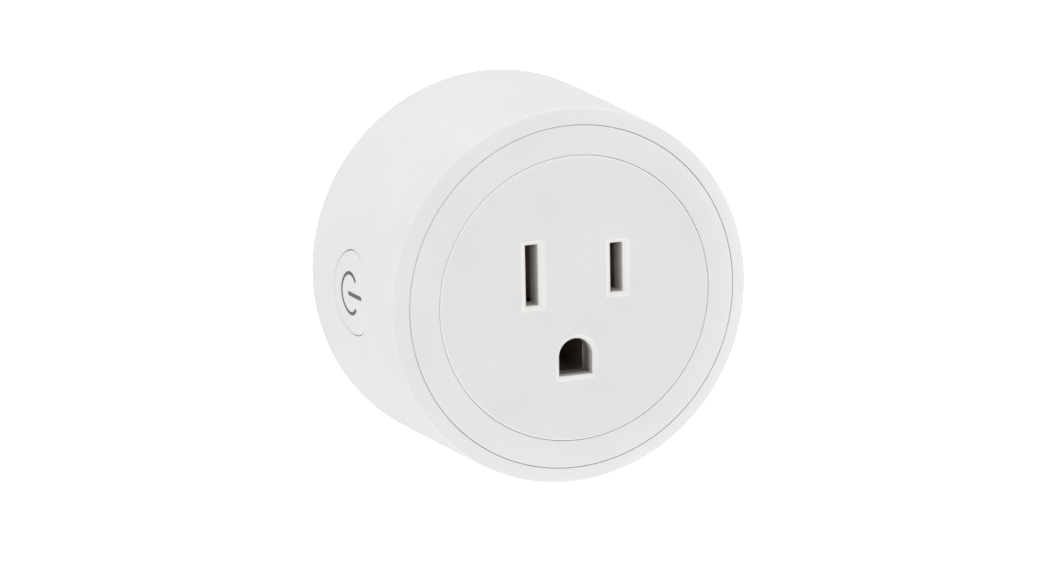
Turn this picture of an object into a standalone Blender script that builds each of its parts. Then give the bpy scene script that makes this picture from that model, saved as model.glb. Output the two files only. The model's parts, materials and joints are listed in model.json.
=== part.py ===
"""Round grounded smart plug, modelled as the separate pieces that it is put together from.

The origin is the centre of the flat face that rests on the wall plate. +Y runs into the wall, so the prongs
point along +Y and the socket faces -Y. +Z is up, and +X is to the right of someone who faces the socket.
Every dimension below is in millimetres. Meshes and places are turned into metres as each object is made.
"""

import math

import bmesh
import bpy
from mathutils import Matrix, Vector

MM = 0.001
GAP = 0.3  # clearance kept between two pieces that touch

# Housing
BODY_DEPTH = 33.0  # socket face to wall face
FACE_Y = -BODY_DEPTH
FRONT_RADIUS = 26.6  # barrel at its front edge
REAR_RADIUS = 28.2  # barrel just before its rear edge rounds off
BARREL_FRONT_Y = FACE_Y + 1.5
REAR_EDGE = 1.3  # rounding of the rear edge
SEAM_Y = FACE_Y + 27.2  # line between the shell and the rear cover
WALL = 2.0
DISC_RADIUS = 20.2  # middle of the line round the flat disc
RING_RADIUS = 24.3  # middle of the line round the sloping ring
DISC_DROP = 0.08  # the ring starts this far behind the disc's face
DOME_CURVE = 0.0345  # how fast the front falls away outside the disc, per millimetre
FRONT_CORNER = 0.5  # rounding between the front and the barrel
SOFT_EDGE = 0.2  # rounding of the edges at the two fine lines
DISC_BACK_Y = FACE_Y + 2.8
LEDGE_Y = FACE_Y + 1.8  # front of the shell's inner ledge and of the disc's flange
LEDGE_RADIUS = 22.1
TONGUE_Y = -8.6  # how far the rear cover's tongue reaches into the shell

# Socket, to the standard spacing of a 15 A grounded outlet
SLOT_X = 6.35
SLOT_Z = 3.85
SLOT_WIDTH = 2.2
NEUTRAL_HEIGHT = 8.3
LINE_HEIGHT = 6.9
SLOT_CHAMFER = 0.6
GROUND_WIDTH = 5.2
GROUND_ARC_Z = -8.2
GROUND_BOTTOM_Z = -10.75

# Prongs
PIN_Z = SLOT_Z - 11.89
PIN_RADIUS = 2.375
PIN_LENGTH = 21.0
BLADE_LENGTH = 17.5
BLADE_HALF_THICKNESS = 0.76
BLADE_HALF_HEIGHT = 3.175
BLADE_HOLE_RADIUS = 1.98
BLADE_HOLE_Y = 11.9
SHOULDER_FRONT_Y = -6.2
SHOULDER_REAR_Y = -4.5

# Button and the switch behind it
BUTTON_Y = FACE_Y + 17.1
BUTTON_Z = 0.2
BUTTON_HOLE_RADIUS = 6.15
BUTTON_RADIUS = BUTTON_HOLE_RADIUS - GAP
BUTTON_FLANGE_RADIUS = 6.6
STEM_TIP_X = -24.5
PLUNGER_TIP_X = STEM_TIP_X + GAP
SWITCH_HALF = 3.0

# Contact carrier
CARRIER_FRONT_Y = DISC_BACK_Y + GAP
CARRIER_REAR_Y = -13.2
EAR_PLACES = ((0.0, 12.6), (0.0, -15.4))
SCREW_RADIUS = 0.95
SCREW_HOLE_RADIUS = SCREW_RADIUS + GAP

# Boards
BOARD_FRONT_Y = -11.6
BOARD_REAR_Y = -10.0
BOARD_RADIUS = 25.1
PARTS_Y = BOARD_FRONT_Y - GAP  # parts that stand on the main board start here
REAR_PARTS_Y = BOARD_REAR_Y + GAP
BOSS_REACH = 22.4
BOSS_ANGLES = (38.0, 232.0)
CONTROL_X = (-19.4, -18.4)
CONTACT_TAIL_Z = (5.4, 7.6)

# Relay
RELAY_LOW = (11.8, -27.0, -9.2)
RELAY_HIGH = (22.0, PARTS_Y, 9.2)
RELAY_WALL = 0.8
RELAY_MID_X = (RELAY_LOW[0] + RELAY_HIGH[0]) / 2
COIL_Z = -2.5
PIVOT = (RELAY_MID_X, -23.7, -7.5)

SEGMENTS = 60
SMALL_SEGMENTS = 16

MATERIALS = {
    # name: (colour, roughness, metallic)
    "shell_plastic": ((0.83, 0.83, 0.82), 0.42, 0.0),
    "face_plastic": ((0.80, 0.80, 0.79), 0.45, 0.0),
    "button_plastic": ((0.84, 0.84, 0.83), 0.38, 0.0),
    "insulator": ((0.03, 0.03, 0.03), 0.55, 0.0),
    "prong_brass": ((0.78, 0.76, 0.70), 0.25, 1.0),
    "contact_brass": ((0.80, 0.58, 0.26), 0.30, 1.0),
    "board": ((0.03, 0.20, 0.09), 0.45, 0.0),
    "relay_plastic": ((0.02, 0.07, 0.22), 0.40, 0.0),
    "bobbin_plastic": ((0.80, 0.78, 0.70), 0.50, 0.0),
    "copper": ((0.72, 0.33, 0.16), 0.30, 1.0),
    "steel": ((0.56, 0.57, 0.58), 0.30, 1.0),
    "capacitor_sleeve": ((0.02, 0.02, 0.03), 0.35, 0.0),
    "film_box": ((0.75, 0.55, 0.06), 0.45, 0.0),
    "varistor_coat": ((0.03, 0.10, 0.45), 0.35, 0.0),
    "resistor_coat": ((0.10, 0.33, 0.28), 0.45, 0.0),
    "ferrite": ((0.05, 0.05, 0.05), 0.60, 0.0),
    "chip": ((0.02, 0.02, 0.02), 0.50, 0.0),
    "led_lens": ((0.85, 0.85, 0.75), 0.20, 0.0),
}


def clear_scene():
    for obj in list(bpy.data.objects):
        bpy.data.objects.remove(obj, do_unlink=True)


def make_materials():
    for name, (colour, roughness, metallic) in MATERIALS.items():
        material = bpy.data.materials.new(name)
        material.use_nodes = True
        shader = material.node_tree.nodes["Principled BSDF"]
        shader.inputs["Base Color"].default_value = (*colour, 1.0)
        shader.inputs["Roughness"].default_value = roughness
        shader.inputs["Metallic"].default_value = metallic


def group(name):
    """An empty that the pieces of one assembly hang from."""
    empty = bpy.data.objects.new(name, None)
    empty.empty_display_size = 10 * MM
    bpy.context.scene.collection.objects.link(empty)
    return empty


def link(name, bm, origin=(0.0, 0.0, 0.0)):
    """Object from a mesh in millimetres, which it takes in, with its own origin at the point given."""
    bmesh.ops.translate(bm, verts=bm.verts, vec=-Vector(origin))
    bmesh.ops.scale(bm, verts=bm.verts, vec=(MM, MM, MM))
    mesh = bpy.data.meshes.new(name)
    bm.to_mesh(mesh)
    bm.free()
    obj = bpy.data.objects.new(name, mesh)
    obj.location = Vector(origin) * MM
    bpy.context.scene.collection.objects.link(obj)
    return obj


def piece(name, bm, material, parent, origin=(0.0, 0.0, 0.0)):
    """One sub-part, smooth where it is round."""
    obj = link(name, bm, origin)
    obj.data.materials.append(bpy.data.materials[material])
    obj.data.shade_smooth()
    obj.data.set_sharp_from_angle(angle=math.radians(35))
    obj.parent = parent
    return obj


def combine(target, operation, name, bm):
    """Cuts a helper solid out of the target, or unites it with the target."""
    helper = link(name, bm)
    helper.hide_render = True
    helper.display_type = "WIRE"
    modifier = target.modifiers.new(name, "BOOLEAN")
    modifier.operation = operation
    modifier.solver = "EXACT"
    modifier.object = helper


def cut(target, name, bm):
    combine(target, "DIFFERENCE", name, bm)


def unite(target, name, bm):
    combine(target, "UNION", name, bm)


def arc(centre, radius, start, end, steps):
    """Points of an arc, in degrees, both ends included."""
    angles = [math.radians(start + (end - start) * i / steps) for i in range(steps + 1)]
    return [(centre[0] + radius * math.cos(a), centre[1] + radius * math.sin(a)) for a in angles]


def turned(outline, segments=SEGMENTS, centre=(0.0, 0.0)):
    """Solid spun about an axis along Y, through x and z of the centre, from a closed outline of (radius, y)."""
    bm = bmesh.new()
    verts = [bm.verts.new((radius, y, 0.0)) for radius, y in outline]
    edges = [bm.edges.new((verts[i - 1], verts[i])) for i in range(len(verts))]
    bmesh.ops.spin(
        bm,
        geom=verts + edges,
        cent=(0.0, 0.0, 0.0),
        axis=(0.0, 1.0, 0.0),
        angle=math.tau,
        steps=segments,
        use_merge=True,
    )
    bmesh.ops.remove_doubles(bm, verts=bm.verts, dist=0.0001)
    loose = [edge for edge in bm.edges if not edge.link_faces]
    bmesh.ops.delete(bm, geom=loose, context="EDGES")
    bmesh.ops.recalc_face_normals(bm, faces=bm.faces)
    bmesh.ops.translate(bm, verts=bm.verts, vec=(centre[0], 0.0, centre[1]))
    return bm


def lofted(loops):
    """Solid through loops of equally many points, closed by a flat face at each end."""
    bm = bmesh.new()
    rows = [[bm.verts.new(point) for point in loop] for loop in loops]
    for near, far in zip(rows, rows[1:]):
        for i in range(len(near)):
            bm.faces.new((near[i - 1], near[i], far[i], far[i - 1]))
    bm.faces.new(rows[0])
    bm.faces.new(rows[-1])
    bmesh.ops.recalc_face_normals(bm, faces=bm.faces)
    return bm


def prism(outline, y_near, y_far):
    """Outline of (x, z) points carried along Y."""
    return lofted([[(x, y, z) for x, z in outline] for y in (y_near, y_far)])


def disc(centre, radius, y_near, y_far, segments=SMALL_SEGMENTS):
    """Round post along Y."""
    outline = arc(centre, radius, 0.0, 360.0 - 360.0 / segments, segments - 1)
    return prism(outline, y_near, y_far)


def box(low, high, bevel=0.0):
    """Block between two corners, with its edges rounded where a bevel is given."""
    low, high = Vector(low), Vector(high)
    bm = bmesh.new()
    bmesh.ops.create_cube(bm, size=1.0)
    bmesh.ops.scale(bm, verts=bm.verts, vec=high - low)
    bmesh.ops.translate(bm, verts=bm.verts, vec=(low + high) / 2)
    if bevel:
        bmesh.ops.bevel(bm, geom=bm.edges[:], offset=bevel, segments=2, affect="EDGES", profile=0.5)
    return bm


def along_x(bm, origin):
    """Turns a solid made about the Y axis so that its +Y points along +X, and moves it to the origin given."""
    turn = Matrix.Translation(origin) @ Matrix.Rotation(math.radians(-90.0), 4, "Z")
    bmesh.ops.transform(bm, matrix=turn, verts=bm.verts)
    return bm


def rectangle(centre_x, centre_z, width, height, grow=0.0):
    half_x, half_z = width / 2 + grow, height / 2 + grow
    signs = ((-1, -1), (1, -1), (1, 1), (-1, 1))
    return [(centre_x + sx * half_x, centre_z + sz * half_z) for sx, sz in signs]


def barrel_radius(y):
    """Outside radius of the tapered barrel."""
    share = (y - BARREL_FRONT_Y) / (-REAR_EDGE - BARREL_FRONT_Y)
    return FRONT_RADIUS + (REAR_RADIUS - FRONT_RADIUS) * share


def front_y(radius):
    """Height of the front surface, which is domed outside the flat disc."""
    return FACE_Y + DISC_DROP + DOME_CURVE * (radius - DISC_RADIUS) ** 2


def dome(start, end, steps):
    radii = [start + (end - start) * i / steps for i in range(steps + 1)]
    return [(radius, front_y(radius)) for radius in radii]


# Socket and housing


def slot_cutter(outline_at):
    """Slot with a chamfered lip. outline_at gives its outline, grown by a distance."""
    lead = 0.4  # the lip's slope is carried on in front of the face
    levels = (
        (FACE_Y - lead, SLOT_CHAMFER + lead),
        (FACE_Y + SLOT_CHAMFER, 0.0),
        (DISC_BACK_Y + 1.0, 0.0),
    )
    return lofted([[(x, y, z) for x, z in outline_at(grow)] for y, grow in levels])


def ground_outline(grow=0.0):
    """Earth-pin hole: a round top and a flat bottom with square corners."""
    radius = GROUND_WIDTH / 2 + grow
    bottom = GROUND_BOTTOM_Z - grow
    return arc((0.0, GROUND_ARC_Z), radius, 0.0, 180.0, 16) + [(-radius, bottom), (radius, bottom)]


def make_socket_face(parent):
    edge = DISC_RADIUS - GAP / 2
    flange = LEDGE_RADIUS - GAP
    outline = [(0.0, FACE_Y)]
    outline += arc((edge - SOFT_EDGE, FACE_Y + SOFT_EDGE), SOFT_EDGE, -90.0, 0.0, 3)
    outline += [(edge, LEDGE_Y), (flange, LEDGE_Y), (flange, DISC_BACK_Y), (0.0, DISC_BACK_Y)]
    face = piece("socket_face", turned(outline), "face_plastic", parent)
    for number, place in enumerate(EAR_PLACES, 1):
        unite(face, f"face_boss_{number}", disc(place, 2.6, DISC_BACK_Y - 1.0, -27.4))
        cut(face, f"face_pilot_{number}", disc(place, SCREW_HOLE_RADIUS, FACE_Y + 2.4, -27.0))
    for side, height in ((-1, NEUTRAL_HEIGHT), (1, LINE_HEIGHT)):
        name = "neutral_slot" if side < 0 else "line_slot"
        x = side * SLOT_X
        cut(face, name, slot_cutter(lambda grow: rectangle(x, SLOT_Z, SLOT_WIDTH, height, grow)))
    cut(face, "ground_hole", slot_cutter(ground_outline))


def make_front_ring(parent):
    inner = DISC_RADIUS + GAP / 2
    outer = RING_RADIUS - GAP / 2
    back = LEDGE_Y - GAP
    outline = [(inner, back), (inner, front_y(inner) + SOFT_EDGE)]
    outline += dome(inner + SOFT_EDGE, outer - SOFT_EDGE, 5)
    outline += [(outer, front_y(outer) + SOFT_EDGE), (outer, back)]
    piece("front_ring", turned(outline), "shell_plastic", parent)


def make_barrel_shell(parent):
    inner = RING_RADIUS + GAP / 2
    corner_y = BARREL_FRONT_Y + 0.35
    corner = (barrel_radius(corner_y) - FRONT_CORNER, corner_y)
    end_y = SEAM_Y - GAP / 2
    inside_front = -29.5
    outline = [(inner, front_y(inner) + SOFT_EDGE)]
    outline += dome(inner + SOFT_EDGE, corner[0] + 0.1, 3)
    outline += arc(corner, FRONT_CORNER, -50.0, 0.0, 4)
    outline += [(barrel_radius(end_y), end_y), (barrel_radius(end_y) - WALL, end_y)]
    outline += [(barrel_radius(inside_front) - WALL, inside_front), (LEDGE_RADIUS, inside_front)]
    outline += [(LEDGE_RADIUS, LEDGE_Y), (inner, LEDGE_Y)]
    shell = piece("barrel_shell", turned(outline), "shell_plastic", parent)
    for number, angle in enumerate(BOSS_ANGLES, 1):
        place = boss_place(angle)
        unite(shell, f"shell_boss_{number}", disc(place, 2.5, inside_front - 0.4, PARTS_Y))
        cut(shell, f"shell_pilot_{number}", disc(place, SCREW_HOLE_RADIUS, -20.0, PARTS_Y + 1.0))
    hole = along_x(disc((0.0, 0.0), BUTTON_HOLE_RADIUS, 0.0, 10.0, 36), (-30.0, BUTTON_Y, BUTTON_Z))
    cut(shell, "button_hole", hole)


def boss_place(angle):
    turn = math.radians(angle)
    return (BOSS_REACH * math.cos(turn), BOSS_REACH * math.sin(turn))


def make_rear_cover(parent):
    start_y = SEAM_Y + GAP / 2
    tongue_outer = barrel_radius(SEAM_Y) - WALL - GAP
    tongue_inner = tongue_outer - 1.4
    groove = 23.4
    groove_depth = 0.3
    outline = [(barrel_radius(start_y), start_y)]
    outline += arc((REAR_RADIUS - REAR_EDGE, -REAR_EDGE), REAR_EDGE, 0.0, 90.0, 5)
    outline += [(groove + 0.4, 0.0), (groove + 0.2, -groove_depth), (groove - 0.2, -groove_depth)]
    outline += [(groove - 0.4, 0.0), (0.0, 0.0), (0.0, -WALL), (tongue_inner, -WALL)]
    outline += [(tongue_inner, TONGUE_Y), (tongue_outer, TONGUE_Y), (tongue_outer, start_y)]
    cover = piece("rear_cover", turned(outline), "shell_plastic", parent)
    unite(cover, "prong_pad", box((-10.2, SHOULDER_REAR_Y + GAP, -12.4), (10.2, -WALL + 0.5, 9.2)))
    slot_x = BLADE_HALF_THICKNESS + GAP
    slot_z = BLADE_HALF_HEIGHT + GAP
    for side, name in ((-1, "neutral"), (1, "line")):
        x = side * SLOT_X
        slot = box((x - slot_x, -6.0, SLOT_Z - slot_z), (x + slot_x, 1.0, SLOT_Z + slot_z))
        cut(cover, f"{name}_blade_slot", slot)
    cut(cover, "ground_pin_hole", disc((0.0, PIN_Z), PIN_RADIUS + GAP, -6.0, 1.0, 24))


# Prongs and contacts


def make_blade(name, x, parent):
    """Stamped blade with a waisted tail, a shoulder that the cover holds, and a slightly thinned neck."""
    half_x, half_z = BLADE_HALF_THICKNESS, BLADE_HALF_HEIGHT
    neck_x = half_x - 0.1
    tail_end = BOARD_REAR_Y - 1.3
    sections = (
        (tail_end, 0.5, 1.25),
        (SHOULDER_FRONT_Y, 0.5, 1.25),
        (SHOULDER_FRONT_Y, 1.6, 4.2),
        (SHOULDER_REAR_Y, 1.6, 4.2),
        (SHOULDER_REAR_Y, neck_x, half_z),
        (0.1, neck_x, half_z),
        (0.2, half_x, half_z),
        (BLADE_LENGTH - 2.6, half_x, half_z),
        (BLADE_LENGTH - 0.9, half_x - 0.22, half_z - 0.6),
        (BLADE_LENGTH, half_x - 0.45, half_z - 1.5),
    )
    loops = [[(px, y, pz) for px, pz in rectangle(x, SLOT_Z, 2 * w, 2 * h)] for y, w, h in sections]
    blade = piece(name, lofted(loops), "prong_brass", parent)
    hole = along_x(disc((0.0, 0.0), BLADE_HOLE_RADIUS, -2.0, 2.0), (x, BLADE_HOLE_Y, SLOT_Z))
    cut(blade, f"{name}_hole", hole)


def make_ground_pin(parent):
    nose = PIN_RADIUS - 0.4
    outline = [(0.0, -8.5), (1.2, -8.5), (1.2, SHOULDER_FRONT_Y), (3.4, SHOULDER_FRONT_Y)]
    outline += [(3.4, SHOULDER_REAR_Y), (PIN_RADIUS, SHOULDER_REAR_Y)]
    outline += [(PIN_RADIUS, PIN_LENGTH - nose - 0.6)]
    outline += arc((PIN_RADIUS - nose, PIN_LENGTH - nose), nose, 0.0, 90.0, 6)
    outline += [(0.0, PIN_LENGTH)]
    piece("ground_pin", turned(outline, 24, (0.0, PIN_Z)), "prong_brass", parent)


def strip(path, thickness):
    """Outline of a bent strip that follows an open path of (x, y) points."""
    points = [Vector(point) for point in path]
    sides = ([], [])
    for i, point in enumerate(points):
        before = (point - points[i - 1]).normalized() if i else None
        after = (points[i + 1] - point).normalized() if i + 1 < len(points) else None
        along = ((before or after) + (after or before)).normalized()
        normal = Vector((-along.y, along.x))
        reach = thickness / 2 / max(0.5, along.dot(after or before))
        sides[0].append(point + normal * reach)
        sides[1].append(point - normal * reach)
    return [tuple(point) for point in sides[0] + sides[1][::-1]]


def make_blade_contact(name, x, parent):
    """Folded double-leaf spring that grips a blade on both its sides."""
    mouth, pinch, leg, base_y = 1.35, 0.85, 1.2, -14.2
    half = [(-mouth, -29.2), (-pinch, -27.0), (-leg, -24.0), (-leg, base_y)]
    path = half + [(-px, py) for px, py in reversed(half)]
    outline = strip(path, 0.5)
    bottom, top = SLOT_Z - 4.0, SLOT_Z + 4.0
    bm = lofted([[(x + px, py, z) for px, py in outline] for z in (bottom, top)])
    contact = piece(name, bm, "contact_brass", parent)
    low = (x - 0.4, base_y - 0.1, CONTACT_TAIL_Z[0])
    high = (x + 0.4, BOARD_REAR_Y - 0.6, CONTACT_TAIL_Z[1])
    unite(contact, f"{name}_tail", box(low, high))


def make_ground_contact(parent):
    """Channel-shaped spring, open at its top, whose tail meets the ground pin behind the board."""
    inside, leaf = 2.3, 0.5
    web_z = -10.95
    top_z = -5.3
    outside = inside + leaf
    outline = [(-outside, top_z), (-outside, web_z - leaf), (outside, web_z - leaf), (outside, top_z)]
    outline += [(inside, top_z), (inside, web_z), (-inside, web_z), (-inside, top_z)]
    contact = piece("ground_contact", prism(outline, -29.2, -14.0), "contact_brass", parent)
    tail = box((-1.2, -14.5, web_z - leaf), (1.2, SHOULDER_FRONT_Y - 0.4, web_z - 0.05))
    unite(contact, "ground_contact_tail", tail)


def make_contact_carrier(parent):
    """Insulating block with a pocket for each contact and two screw ears."""
    body = box((-10.8, CARRIER_FRONT_Y, -13.0), (10.8, CARRIER_REAR_Y, 10.6))
    carrier = piece("contact_carrier", body, "insulator", parent)
    ear_front, ear_rear = -27.1, -25.3
    ear_radius = 2.8
    for number, (x, z) in enumerate(EAR_PLACES, 1):
        outward = 1 if z > 0 else -1
        root_z = z - outward * 5.0
        outline = arc((x, z), ear_radius, 0.0, 180.0 * outward, 8)
        outline += [(x - ear_radius, root_z), (x + ear_radius, root_z)]
        unite(carrier, f"ear_{number}", prism(outline, ear_front, ear_rear))
        cut(carrier, f"ear_hole_{number}", disc((x, z), SCREW_HOLE_RADIUS, -28.0, -24.0))
        relief = disc((x, z), 2.6 + GAP, CARRIER_FRONT_Y - 1.0, ear_front)
        cut(carrier, f"ear_relief_{number}", relief)
    front, rear = CARRIER_FRONT_Y - 1.0, CARRIER_REAR_Y + 1.0
    for side, name in ((-1, "neutral"), (1, "line")):
        outline = rectangle(side * SLOT_X, SLOT_Z, 5.1, 9.1)
        cut(carrier, f"{name}_pocket", prism(outline, front, rear))
    cut(carrier, "ground_pocket", box((-3.6, front, -11.9), (3.6, rear, -4.4)))


def make_contact_retainer(parent):
    """Thin insulating plate that closes the back of the carrier."""
    front, rear = CARRIER_REAR_Y + GAP, PARTS_Y
    plate = piece("contact_retainer", box((-10.5, front, -12.7), (10.5, rear, 10.2)), "insulator", parent)
    cut_rear_openings(plate, "retainer", front - 1.0, rear + 1.0)


def cut_rear_openings(target, prefix, y_near, y_far):
    """Openings that the contact tails and a long ground pin need in a plate behind the carrier."""
    low_z, high_z = CONTACT_TAIL_Z[0] - GAP, CONTACT_TAIL_Z[1] + GAP
    for side, name in ((-1, "neutral"), (1, "line")):
        x = side * SLOT_X
        slot = box((x - 0.7, y_near, low_z), (x + 0.7, y_far, high_z))
        cut(target, f"{prefix}_{name}_slot", slot)
    cut(target, f"{prefix}_ground_hole", box((-2.9, y_near, -11.8), (2.9, y_far, -5.2)))


# Boards and the parts on them


def make_main_board(parent):
    bm = disc((0.0, 0.0), BOARD_RADIUS, BOARD_FRONT_Y, BOARD_REAR_Y, 48)
    board = piece("main_board", bm, "board", parent)
    near, far = BOARD_FRONT_Y - 1.0, BOARD_REAR_Y + 1.0
    cut_rear_openings(board, "board", near, far)
    for side, name in ((-1, "neutral"), (1, "line")):
        outline = rectangle(side * SLOT_X, SLOT_Z, 1.0, 2.5, GAP)
        cut(board, f"board_{name}_blade_slot", prism(outline, near, far))
    for number, angle in enumerate(BOSS_ANGLES, 1):
        cut(board, f"board_screw_hole_{number}", disc(boss_place(angle), SCREW_HOLE_RADIUS, near, far))
    cut(board, "button_notch", box((-30.0, near, BUTTON_Z - 7.0), (-21.5, far, BUTTON_Z + 7.0)))


def make_screws(parent):
    def screw(name, place, head_y, shank_end_y):
        """Pan-head screw along Y. Its head ends at head_y, and its tip points away from it."""
        toward = 1 if shank_end_y > head_y else -1
        head_inner = head_y + toward * 1.0
        outline = [(0.0, head_y), (1.2, head_y), (1.65, head_y + toward * 0.4), (1.65, head_inner)]
        outline += [(SCREW_RADIUS, head_inner), (SCREW_RADIUS, shank_end_y - toward * 0.9), (0.0, shank_end_y)]
        piece(name, turned(outline, SMALL_SEGMENTS, place), "steel", parent, (place[0], head_y, place[1]))

    for number, place in enumerate(EAR_PLACES, 1):
        screw(f"carrier_screw_{number}", place, -24.0, -30.3)
    for number, angle in enumerate(BOSS_ANGLES, 1):
        screw(f"board_screw_{number}", boss_place(angle), BOARD_REAR_Y + GAP + 1.0, -18.0)


def make_capacitor(name, place, radius, length, parent):
    """Aluminium electrolytic capacitor with its rolled neck and crimped rim, standing on the main board."""
    base, top = PARTS_Y, PARTS_Y - length
    neck = base - 1.5
    outline = [(0.0, base), (radius - 0.3, base), (radius, base - 0.3), (radius, neck + 0.4)]
    outline += [(radius - 0.35, neck), (radius, neck - 0.4), (radius, top + 0.4)]
    outline += [(radius - 0.4, top), (radius - 1.0, top), (radius - 1.0, top + 0.25), (0.0, top + 0.25)]
    bm = turned(outline, SMALL_SEGMENTS, place)
    piece(name, bm, "capacitor_sleeve", parent, (place[0], base, place[1]))


def make_power_parts(parent):
    make_capacitor("input_capacitor_1", (-5.2, 16.4), 4.0, 11.0, parent)
    make_capacitor("input_capacitor_2", (4.2, 16.8), 4.0, 11.0, parent)
    make_capacitor("output_capacitor", (11.0, 14.4), 2.5, 7.0, parent)

    film = box((-0.8, -22.9, -20.6), (12.2, PARTS_Y, -14.6), 0.4)
    piece("film_capacitor", film, "film_box", parent)

    coat = 1.8
    outline = [(0.0, -coat), (3.2, -coat), (4.0, -coat + 0.6), (4.2, 0.0)]
    outline += [(4.0, coat - 0.6), (3.2, coat), (0.0, coat)]
    varistor = along_x(turned(outline, SMALL_SEGMENTS), (-6.2, -16.4, -17.2))
    piece("varistor", varistor, "varistor_coat", parent)

    radius, near, far = 1.5, -21.0, PARTS_Y
    outline = [(0.0, near), (1.1, near), (radius, near + 0.5), (radius, near + 1.6), (radius - 0.2, near + 2.2)]
    outline += [(radius - 0.2, far - 2.2), (radius, far - 1.6), (radius, far - 0.5), (1.1, far), (0.0, far)]
    piece("fuse_resistor", turned(outline, SMALL_SEGMENTS, (-12.9, -12.2)), "resistor_coat", parent)

    near, far = -20.5, PARTS_Y
    core = [(0.0, near), (3.2, near), (3.2, near + 0.9), (1.5, near + 0.9), (1.5, far - 0.9)]
    core += [(3.2, far - 0.9), (3.2, far), (0.0, far)]
    place = (-12.8, 14.2)
    piece("choke_core", turned(core, SMALL_SEGMENTS, place), "ferrite", parent)
    coil = [(1.8, near + 1.2), (3.0, near + 1.2), (3.0, far - 1.2), (1.8, far - 1.2)]
    piece("choke_winding", turned(coil, SMALL_SEGMENTS, place), "copper", parent)


def make_chip(name, centre, size, leads, parent):
    """Moulded chip behind the main board, with flat leads along its two z sides."""
    x, z = centre
    width, depth, height = size
    low = (x - width / 2, REAR_PARTS_Y, z - height / 2)
    high = (x + width / 2, REAR_PARTS_Y + depth, z + height / 2)
    chip = piece(name, box(low, high, 0.12), "chip", parent)
    pitch = width / leads
    for number in range(leads):
        middle = low[0] + pitch * (number + 0.5)
        lead_low = (middle - 0.2, REAR_PARTS_Y + 0.15, low[2] - 0.9)
        lead_high = (middle + 0.2, REAR_PARTS_Y + 0.4, high[2] + 0.9)
        unite(chip, f"{name}_lead_{number}", box(lead_low, lead_high))


def make_chips(parent):
    make_chip("bridge_rectifier", (15.0, -8.0), (4.8, 1.6, 4.0), 2, parent)
    make_chip("power_regulator", (-15.0, -5.0), (4.9, 1.5, 3.9), 4, parent)
    make_chip("logic_regulator", (-15.0, 5.0), (6.4, 1.5, 3.5), 3, parent)
    make_chip("relay_driver", (15.0, 4.0), (2.9, 1.0, 1.4), 2, parent)


def make_control_parts(parent):
    low_x, high_x = CONTROL_X
    board = box((low_x, -28.6, -10.5), (high_x, PARTS_Y, 11.5))
    piece("control_board", board, "board", parent)
    module = box((high_x + GAP, -28.2, -7.5), (high_x + GAP + 0.8, -14.4, 7.5))
    piece("radio_board", module, "board", parent)
    can_x = high_x + GAP + 0.8 + GAP
    can = piece("shield_can", box((can_x, -23.6, -6.4), (can_x + 2.4, -15.0, 6.4), 0.3), "steel", parent)
    cut(can, "can_hollow", box((can_x - 1.0, -23.3, -6.1), (can_x + 2.1, -15.3, 6.1)))
    chip = box((can_x, -21.8, -2.5), (can_x + 0.9, -16.8, 2.5), 0.1)
    piece("radio_chip", chip, "chip", parent)
    header = box((high_x + GAP, -14.0, -7.6), (high_x + GAP + 2.4, PARTS_Y, 7.6), 0.15)
    piece("board_header", header, "chip", parent)
    led_low = (low_x - GAP - 0.5, BUTTON_Y - 5.6, BUTTON_Z - 0.4)
    led_high = (low_x - GAP, BUTTON_Y - 4.0, BUTTON_Z + 0.4)
    piece("status_led", box(led_low, led_high, 0.08), "led_lens", parent)


# Button and its switch


def make_button(parent):
    """Cap that carries on the barrel's curve, with a retaining flange and a stem inside."""
    steps = 36
    skin = 1.4
    flange_x = (-24.0, -23.2)
    skirt = BUTTON_RADIUS - 1.2
    middle_x = -barrel_radius(BUTTON_Y)
    # radius from the button's axis, depth below the barrel's surface or None, and x where it is flat
    rings = (
        (1.5, 0.0, None),
        (3.4, 0.0, None),
        (BUTTON_RADIUS - SOFT_EDGE, 0.0, None),
        (BUTTON_RADIUS, SOFT_EDGE, None),
        (BUTTON_RADIUS, None, flange_x[0]),
        (BUTTON_FLANGE_RADIUS, None, flange_x[0]),
        (BUTTON_FLANGE_RADIUS, None, flange_x[1]),
        (skirt, None, flange_x[1]),
        (skirt, None, middle_x + skin + 0.5),
        (1.3, None, middle_x + skin + 0.5),
        (1.3, None, STEM_TIP_X),
    )
    loops = []
    for radius, depth, x in rings:
        loop = []
        for i in range(steps):
            turn = math.tau * i / steps
            y = BUTTON_Y + radius * math.cos(turn)
            z = BUTTON_Z + radius * math.sin(turn)
            surface = -math.sqrt(barrel_radius(y) ** 2 - z ** 2)
            loop.append((x if depth is None else surface + depth, y, z))
        loops.append(loop)
    origin = (middle_x, BUTTON_Y, BUTTON_Z)
    piece("button_cap", lofted(loops), "button_plastic", parent, origin)


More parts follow.
